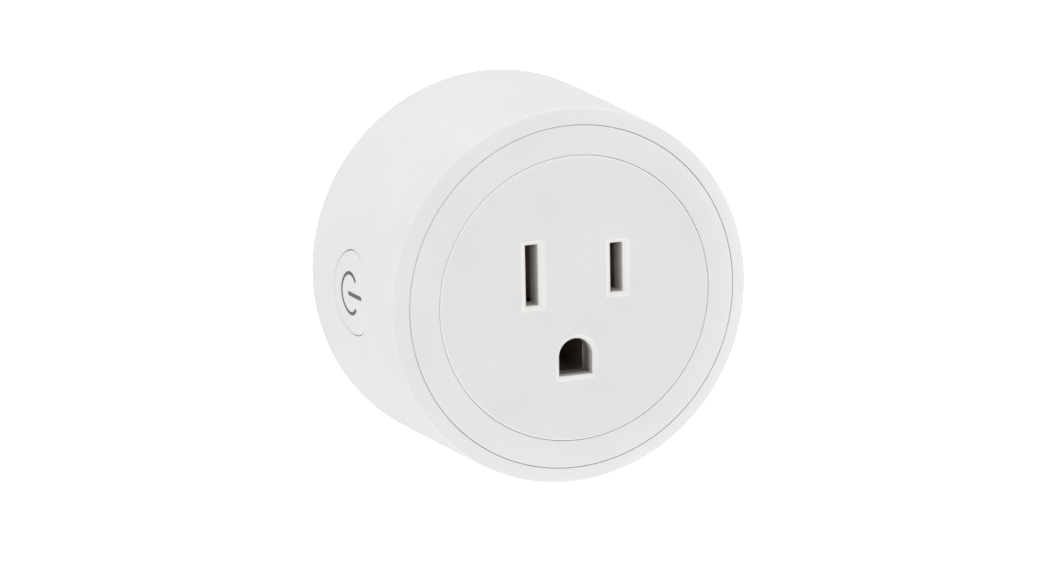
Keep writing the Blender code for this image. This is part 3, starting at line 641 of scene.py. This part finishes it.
def make_shell():
    """Shoulder and tapered barrel, with the round hole for the button."""
    inner = RING_RADIUS + LINE_HALF
    floor = front_y(inner) + LINE_DEPTH
    end_y = SEAM_Y - HAIRLINE
    end_radius = barrel_radius(end_y)
    inside_radius = barrel_radius(SHELL_INSIDE_Y) - WALL
    corners = [(RING_RADIUS + HAIRLINE, LEDGE_Y, 0.0), (RING_RADIUS + HAIRLINE, floor, 0.0)]
    corners += [(inner, floor, 0.0), (inner, front_y(inner), INNER_LIP)]
    corners += dome(inner + 0.2, FRONT_RADIUS - 0.7, 8)
    corners += [(FRONT_RADIUS, BARREL_FRONT_Y, FRONT_CORNER)]
    corners += [(barrel_radius(y), y, 0.0) for y in (-28.0, -24.0, -20.0, -16.0, -12.0, -9.0)]
    corners += [(end_radius, end_y, SEAM_LIP), (end_radius - WALL, end_y, 0.0)]
    corners += [(inside_radius, SHELL_INSIDE_Y, 0.0), (LEDGE_RADIUS, SHELL_INSIDE_Y, 0.0)]
    corners += [(LEDGE_RADIUS, LEDGE_Y, 0.0)]
    shell = as_object("barrel", revolved(filleted(corners, 8)))
    lip = BUTTON_HOLE_LIP
    wide = BUTTON_HOLE_RADIUS + lip
    loops = [surface_ring(wide, -1.0), surface_ring(wide, 0.0)]
    for degrees in (25.0, 50.0, 70.0):
        turn = math.radians(degrees)
        radius = BUTTON_HOLE_RADIUS + lip * (1 - math.sin(turn))
        loops.append(surface_ring(radius, lip * (1 - math.cos(turn))))
    loops.append(surface_ring(BUTTON_HOLE_RADIUS, lip))
    loops.append(surface_ring(BUTTON_HOLE_RADIUS, 0.0, flat_x=-22.0))
    combined(shell, "DIFFERENCE", [lofted(loops)])
    finished(shell, LOOKS["white_shell"], "housing", ["barrel_shell"])


def make_cover():
    """Rear cover with its rounded edge, a shallow turned line and close slots round the prongs."""
    start_y = SEAM_Y + HAIRLINE
    tongue = barrel_radius(SEAM_Y) - WALL - TONGUE_PLAY
    inside = tongue - TONGUE_WALL
    line, depth = REAR_LINE_RADIUS, REAR_LINE_DEPTH
    corners = [(tongue, start_y, 0.0), (barrel_radius(start_y), start_y, SEAM_LIP)]
    corners += [(REAR_RADIUS, 0.0, REAR_EDGE)]
    corners += [(line + 0.3, 0.0, 0.12), (line + 0.12, -depth, 0.06)]
    corners += [(line - 0.12, -depth, 0.06), (line - 0.3, 0.0, 0.12)]
    corners += [(0.0, 0.0, 0.0), (0.0, -WALL, 0.0)]
    corners += [(inside, -WALL, 0.0), (inside, TONGUE_Y, 0.0), (tongue, TONGUE_Y, 0.0)]
    cover = as_object("back_cover", revolved(filleted(corners, 10)))
    combined(cover, "UNION", [block(*BOSS)])
    half_x, half_z = BLADE_HALF[0] + PRONG_PLAY, BLADE_HALF[1] + PRONG_PLAY
    cutters = []
    for x in (-BLADE_X, BLADE_X):
        low = (x - half_x, -6.0, BLADE_Z - half_z)
        cutters.append(block(low, (x + half_x, 1.0, BLADE_Z + half_z)))
    radius = PIN_RADIUS + PRONG_PLAY
    bore = ((0.0, -6.0), (radius, -6.0), (radius, 1.0), (0.0, 1.0))
    cutters.append(revolved(bore, SMALL, (0.0, PIN_Z)))
    combined(cover, "DIFFERENCE", cutters)
    finished(cover, LOOKS["white_shell"], "housing", ["rear_cover"])


def make_button():
    """Button cap that carries on the barrel's curve, with a soft edge, a flange and a stem."""
    edge = BUTTON_EDGE
    skirt = BUTTON_RADIUS - BUTTON_WALL
    ceiling = -barrel_radius(BUTTON_Y) + BUTTON_CEILING
    flange, flange_out, flange_in = CAP_FLANGE
    loops = [surface_ring(radius, 0.0) for radius in (0.4, 1.2, 2.2, 3.2, 4.2, 5.1)]
    for step in range(6):
        turn = math.radians(90.0 * step / 5)
        radius = BUTTON_RADIUS - edge + edge * math.sin(turn)
        loops.append(surface_ring(radius, edge * (1 - math.cos(turn))))
    inside = (
        (BUTTON_RADIUS, flange_out - 0.2),
        (BUTTON_RADIUS, flange_out),
        (flange, flange_out),
        (flange, flange_in),
        (skirt, flange_in),
        (skirt, ceiling),
        (CAP_STEM_RADIUS, ceiling),
        (CAP_STEM_RADIUS, STEM_TIP_X),
    )
    loops += [surface_ring(radius, 0.0, flat_x=x) for radius, x in inside]
    cap = as_object("button", lofted(loops))
    finished(cap, LOOKS["white_button"], "button", ["button_cap"])


def surface_point(y, z, proud):
    """Point on the button at y and z from its centre, raised by a distance."""
    y, z = BUTTON_Y + y, BUTTON_Z + z
    return (-math.sqrt(barrel_radius(y) ** 2 - z ** 2) - proud, y, z)


def inked_stroke(name, path, width):
    """Printed stroke with round ends along a path of (y, z) points on the button."""
    points = [Vector(point) for point in path]
    reach, ends = width / 2, 6
    stations = []
    for i, point in enumerate(points):
        near, far = points[max(i - 1, 0)], points[min(i + 1, len(points) - 1)]
        along = (far - near).normalized()
        if i == 0:
            for k in range(ends):
                turn = math.radians(5.0 + 85.0 * k / ends)
                place = point - along * reach * math.cos(turn)
                stations.append((place, along, reach * math.sin(turn)))
        stations.append((point, along, reach))
        if i == len(points) - 1:
            for k in range(ends):
                turn = math.radians(90.0 - 85.0 * (k + 1) / ends)
                place = point + along * reach * math.cos(turn)
                stations.append((place, along, reach * math.sin(turn)))
    loops = []
    for place, along, half in stations:
        side = Vector((-along.y, along.x)) * half
        left, right = place + side, place - side
        loops.append([
            surface_point(*left, -INK_BURIED),
            surface_point(*left, INK_PROUD),
            surface_point(*place, INK_CROWN),
            surface_point(*right, INK_PROUD),
            surface_point(*right, -INK_BURIED),
        ])
    stroke = as_object(name, lofted(loops))
    finished(stroke, INK, "button")


def make_symbol():
    """Power symbol, turned so that its bar and gap point towards the socket."""
    steps = 60
    start = 180.0 + SYMBOL_OPENING
    sweep = 360.0 - 2 * SYMBOL_OPENING
    turns = [math.radians(start + sweep * i / steps) for i in range(steps + 1)]
    arc = [(SYMBOL_RADIUS * math.cos(turn), SYMBOL_RADIUS * math.sin(turn)) for turn in turns]
    inked_stroke("symbol_arc", arc, SYMBOL_STROKE)
    front, back = SYMBOL_BAR
    bar = [(front + (back - front) * i / 12, 0.0) for i in range(13)]
    inked_stroke("symbol_bar", bar, SYMBOL_BAR_STROKE)


def make_prongs():
    """Stamped blades with rounded edges and the round-nosed ground pin."""
    half_x, half_z = BLADE_HALF
    sections = (
        (blade_low.y, *BLADE_TAIL_HALF),
        (SHOULDER_FRONT_Y, *BLADE_TAIL_HALF),
        (SHOULDER_FRONT_Y, *BLADE_SHOULDER_HALF),
        (SHOULDER_REAR_Y, *BLADE_SHOULDER_HALF),
        (SHOULDER_REAR_Y, half_x, half_z),
        (BLADE_END_Y - 2.6, half_x, half_z),
        (BLADE_END_Y - 0.9, half_x - 0.22, half_z - 0.6),
        (BLADE_END_Y, half_x - 0.45, half_z - 1.5),
    )
    signs = ((-1, -1), (1, -1), (1, 1), (-1, 1))
    reach = half_x + 1.0
    mouth = BLADE_HOLE_RADIUS + 1.0 + BLADE_LIP
    hole = (
        (0.0, -reach),
        (mouth, -reach),
        (BLADE_HOLE_RADIUS, -half_x + BLADE_LIP),
        (BLADE_HOLE_RADIUS, half_x - BLADE_LIP),
        (mouth, reach),
        (0.0, reach),
    )
    prongs = ((-BLADE_X, "neutral_prong", "neutral_blade"), (BLADE_X, "line_prong", "line_blade"))
    for x, name, node in prongs:
        loops = [
            [(x + sx * width, y, BLADE_Z + sz * height) for sx, sz in signs]
            for y, width, height in sections
        ]
        blade = as_object(name, lofted(loops))
        drill = along_x(revolved(hole, SMALL), (x, BLADE_HOLE_Y, BLADE_Z))
        combined(blade, "DIFFERENCE", [drill])
        bevel = blade.modifiers.new("edges", "BEVEL")
        bevel.width = BLADE_LIP * MM
        bevel.segments = 2
        bevel.limit_method = "ANGLE"
        bevel.angle_limit = math.radians(40)
        settle(blade)
        finished(blade, LOOKS["prong_metal"], "housing", [node])
    corners = (
        (0.0, pin_low.y, 0.0),
        (PIN_TAIL_RADIUS, pin_low.y, 0.2),
        (PIN_TAIL_RADIUS, SHOULDER_FRONT_Y, 0.0),
        (PIN_SHOULDER_RADIUS, SHOULDER_FRONT_Y, 0.2),
        (PIN_SHOULDER_RADIUS, SHOULDER_REAR_Y, 0.2),
        (PIN_RADIUS, SHOULDER_REAR_Y, 0.0),
        (PIN_RADIUS, PIN_END_Y - 2.4, 3.0),
        (PIN_RADIUS - 0.5, PIN_END_Y, 1.6),
        (0.0, PIN_END_Y, 0.0),
    )
    pin = as_object("ground_prong", revolved(filleted(corners, 10), SMALL, (0.0, PIN_Z)))
    finished(pin, LOOKS["prong_metal"], "housing", ["ground_pin"])


def dress_frame():
    """Gives every CAD node that stays the look of its own slot."""
    slots = {row["node"]: row["material_slot"] for row in frame["record"]["subparts"]}
    for name, obj in frame["nodes"].items():
        obj.data.materials.clear()
        obj.data.materials.append(LOOKS[slots[name]])


# ---- Studio ----

# Camera, as fitted to the photograph
CAMERA_TURN = 21.56  # degrees from the socket's axis, towards the button's side
CAMERA_RISE = 12.11
CAMERA_ROLL = -1.13
CAMERA_DISTANCE = 415.8
CAMERA_OFF_AXIS = (7.22, 2.18)  # the face's centre is this far right of and below the axis
LENS = 102.95
FLOOR_Z = -70.0

BASE_LIGHT = 0.3
LIGHT_FALLOFF = 3.0  # each soft light fades with this power of the cosine off its direction
SOFT_LIGHTS = (
    # (direction that the light comes from, strength)
    ((-1.0, 0.0, 0.0), 1.0),
    ((1.0, 0.0, 0.0), 1.3),
    ((0.0, 0.0, 1.0), 1.25),
    ((0.0, 0.0, -1.0), 1.4),
    ((0.0, -1.0, 0.0), 0.55),
    ((0.0, 1.0, 0.0), 0.3),
)


def make_camera():
    turn, rise = math.radians(CAMERA_TURN), math.radians(CAMERA_RISE)
    level = math.cos(rise)
    forward = Vector((math.sin(turn) * level, math.cos(turn) * level, -math.sin(rise)))
    facing = forward.to_track_quat("-Z", "Y").to_matrix().to_4x4()
    facing = facing @ Matrix.Rotation(math.radians(CAMERA_ROLL), 4, "Z")
    right, up = facing.col[0].to_3d(), facing.col[1].to_3d()
    across, below = CAMERA_OFF_AXIS
    face_centre = Vector((0.0, FACE_Y, 0.0))
    place = face_centre - forward * CAMERA_DISTANCE - right * across + up * below
    data = bpy.data.cameras.new("camera")
    data.lens = LENS
    data.sensor_width = 36.0
    data.clip_start = 0.01
    camera = bpy.data.objects.new("camera", data)
    camera.matrix_world = Matrix.Translation(place * MM) @ facing
    bpy.context.scene.collection.objects.link(camera)
    bpy.context.scene.camera = camera


def make_light():
    """Six large soft lights, one from each side, over an even light."""
    scene = bpy.context.scene
    scene.view_settings.view_transform = "Standard"
    world = bpy.data.worlds.new("studio")
    scene.world = world
    world.use_nodes = True
    nodes, links = world.node_tree.nodes, world.node_tree.links
    nodes["Background"].inputs["Color"].default_value = (1.0, 1.0, 1.0, 1.0)
    direction = nodes.new("ShaderNodeTexCoord").outputs["Generated"]
    total = None
    for toward, strength in SOFT_LIGHTS:
        facing = nodes.new("ShaderNodeVectorMath")
        facing.operation = "DOT_PRODUCT"
        facing.inputs[1].default_value = Vector(toward).normalized()
        links.new(direction, facing.inputs[0])
        value = facing.outputs["Value"]
        for operation, operand in (
            ("MAXIMUM", 0.0),
            ("POWER", LIGHT_FALLOFF),
            ("MULTIPLY", strength),
            ("ADD", BASE_LIGHT),
        ):
            step = nodes.new("ShaderNodeMath")
            step.operation = operation
            step.inputs[1].default_value = operand
            links.new(value, step.inputs[0])
            value = step.outputs["Value"]
        # The first light brings the base light, and each later one adds what came before it.
        if total is not None:
            links.new(total, step.inputs[1])
        total = value
    links.new(total, nodes["Background"].inputs["Strength"])


def make_floor():
    """Plain white floor, clear from below. The soft lights stand for what it throws back."""
    bm = bmesh.new()
    bmesh.ops.create_grid(bm, x_segments=8, y_segments=8, size=6000.0)
    bmesh.ops.translate(bm, verts=bm.verts, vec=(0.0, 0.0, FLOOR_Z))
    floor = as_object("floor", bm)
    material = bpy.data.materials.new("white_floor")
    material.use_nodes = True
    nodes, links = material.node_tree.nodes, material.node_tree.links
    shader = nodes["Principled BSDF"]
    shader.inputs["Base Color"].default_value = (0.9, 0.9, 0.9, 1.0)
    shader.inputs["Roughness"].default_value = 0.9
    shader.inputs["Emission Color"].default_value = (1.0, 1.0, 1.0, 1.0)
    shader.inputs["Emission Strength"].default_value = 0.6
    one_sided = nodes.new("ShaderNodeMixShader")
    links.new(nodes.new("ShaderNodeNewGeometry").outputs["Backfacing"], one_sided.inputs["Fac"])
    links.new(shader.outputs["BSDF"], one_sided.inputs[1])
    links.new(nodes.new("ShaderNodeBsdfTransparent").outputs["BSDF"], one_sided.inputs[2])
    links.new(one_sided.outputs["Shader"], nodes["Material Output"].inputs["Surface"])
    floor.data.materials.append(material)
    floor.visible_diffuse = False
    floor.visible_glossy = False
    floor.visible_shadow = False


make_camera()
dress_frame()
make_face()
make_ring()
make_shell()
make_cover()
make_button()
make_symbol()
make_prongs()
make_light()
make_floor()
